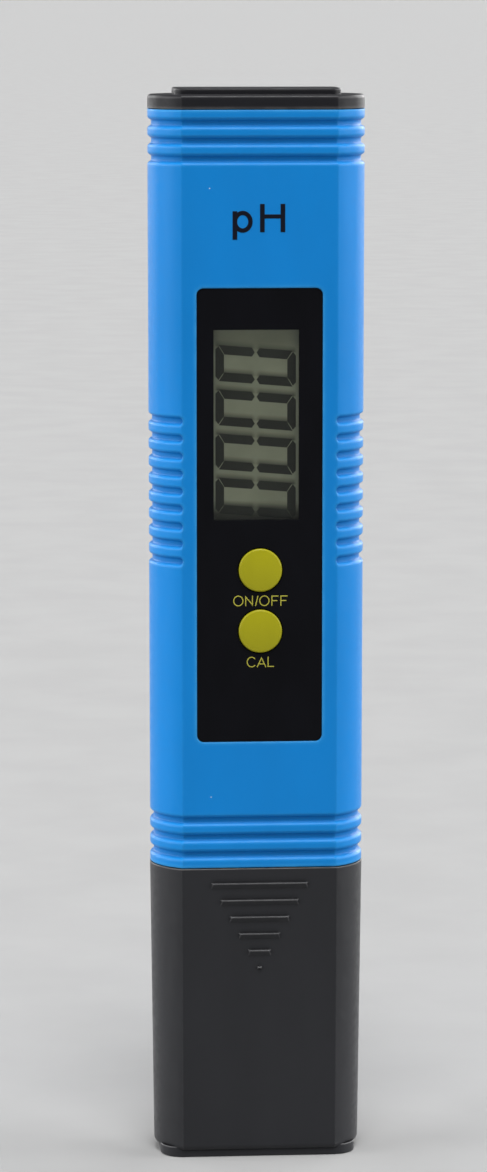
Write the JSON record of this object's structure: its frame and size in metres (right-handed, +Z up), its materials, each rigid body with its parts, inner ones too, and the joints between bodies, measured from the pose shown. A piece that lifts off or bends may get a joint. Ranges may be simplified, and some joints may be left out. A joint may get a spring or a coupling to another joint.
{
  "type": "pocket ph test pen",
  "caption": "Flat pocket pH test pen with a display, two push buttons, a pull-off protective cap over its glass electrode and a pull-off battery cover.",
  "frame": {"origin": "middle of the protective cap's foot, on the surface that the pen stands on", "axes": "+Z up the barrel, -Y out of the display side, +X to the right as the display is read"},
  "size_m": [0.0312, 0.0151, 0.155],
  "materials": {
    "barrel_plastic": "satin moulded ABS, fine texture",
    "panel_gloss": "glossy black overlay",
    "window_clear": "clear acrylic pane",
    "lcd_glass": "grey-green display glass",
    "reflector_film": "satin reflecting film",
    "contact_rubber": "matt conductive rubber",
    "frame_plastic": "plain moulded",
    "board_laminate": "green glass-epoxy laminate",
    "screw_steel": "plated",
    "epoxy_black": "moulded epoxy",
    "chip_ceramic": "fired, tinned ends",
    "crystal_can": "bright drawn can",
    "contact_metal": "nickel-plated spring strip",
    "cell_steel": "bright nickel-plated",
    "lead_black": "satin insulation",
    "lead_red": "satin insulation",
    "lead_white": "satin insulation",
    "cover_plastic": "satin moulded black",
    "cap_plastic": "satin moulded black",
    "holder_plastic": "satin moulded dark grey",
    "tube_plastic": "smooth pale tube",
    "seal_rubber": "matt",
    "silicone_seal": "translucent white",
    "electrode_glass": "blown, clear",
    "junction_ceramic": "porous, unglazed",
    "silver_wire": "drawn silver",
    "button_yellow": "satin moulded",
    "switch_case": "moulded",
    "switch_plunger": "moulded"
  },
  "bodies": {
    "barrel": {"amplifier_chip": "epoxy_black", "battery_cell_negative": "cell_steel", "battery_cell_positive": "cell_steel", "battery_lead_negative": "lead_black", "battery_lead_positive": "lead_red", "battery_tray": "frame_plastic", "board_carrier": "frame_plastic", "board_screws": "screw_steel", "body_shell": "barrel_plastic", "calibrate_switch_base": "switch_case", "calibrate_switch_dome": "contact_metal", "cap_seal_ring": "seal_rubber", "chip_parts": "chip_ceramic", "circuit_board": "board_laminate", "contact_bridge": "contact_metal", "contact_negative": "contact_metal", "contact_positive": "contact_metal", "controller_blob": "epoxy_black", "display_window": "window_clear", "electrode_guard": "holder_plastic", "electrode_holder": "holder_plastic", "electrode_plug": "silicone_seal", "electrode_seal": "silicone_seal", "electrode_tube": "tube_plastic", "front_panel": "panel_gloss", "glass_membrane": "electrode_glass", "holder_seal_ring": "seal_rubber", "inner_wire": "silver_wire", "lcd_contact_strips": "contact_rubber", "lcd_frame": "frame_plastic", "lcd_front_glass": "lcd_glass", "lcd_rear_glass": "lcd_glass", "lcd_reflector": "reflector_film", "power_switch_base": "switch_case", "power_switch_dome": "contact_metal", "reference_junction": "junction_ceramic", "reference_lead": "lead_black", "reference_wire": "silver_wire", "sensor_lead": "lead_white", "timing_crystal": "crystal_can"},
    "cap": {"protective_cap": "cap_plastic"},
    "top_cover": {"battery_cover": "cover_plastic", "battery_cover_seal": "seal_rubber"},
    "power_key": {"power_button": "button_yellow", "power_switch_plunger": "switch_plunger"},
    "calibrate_key": {"calibrate_button": "button_yellow", "calibrate_switch_plunger": "switch_plunger"}
  },
  "joints": [
    {"name": "cap_pull", "type": "slide", "parent": "cap", "child": "barrel", "axis": [0, 0, 1], "range_m": [0, 0.04]},
    {"name": "top_cover_pull", "type": "slide", "parent": "barrel", "child": "top_cover", "axis": [0, 0, 1], "range_m": [0, 0.012]},
    {"name": "power_key_press", "type": "slide", "parent": "barrel", "child": "power_key", "axis": [0, 1, 0], "range_m": [0, 0.0004], "stiffness_N_per_m": 4000},
    {"name": "calibrate_key_press", "type": "slide", "parent": "barrel", "child": "calibrate_key", "axis": [0, 1, 0], "range_m": [0, 0.0004], "stiffness_N_per_m": 4000}
  ]
}
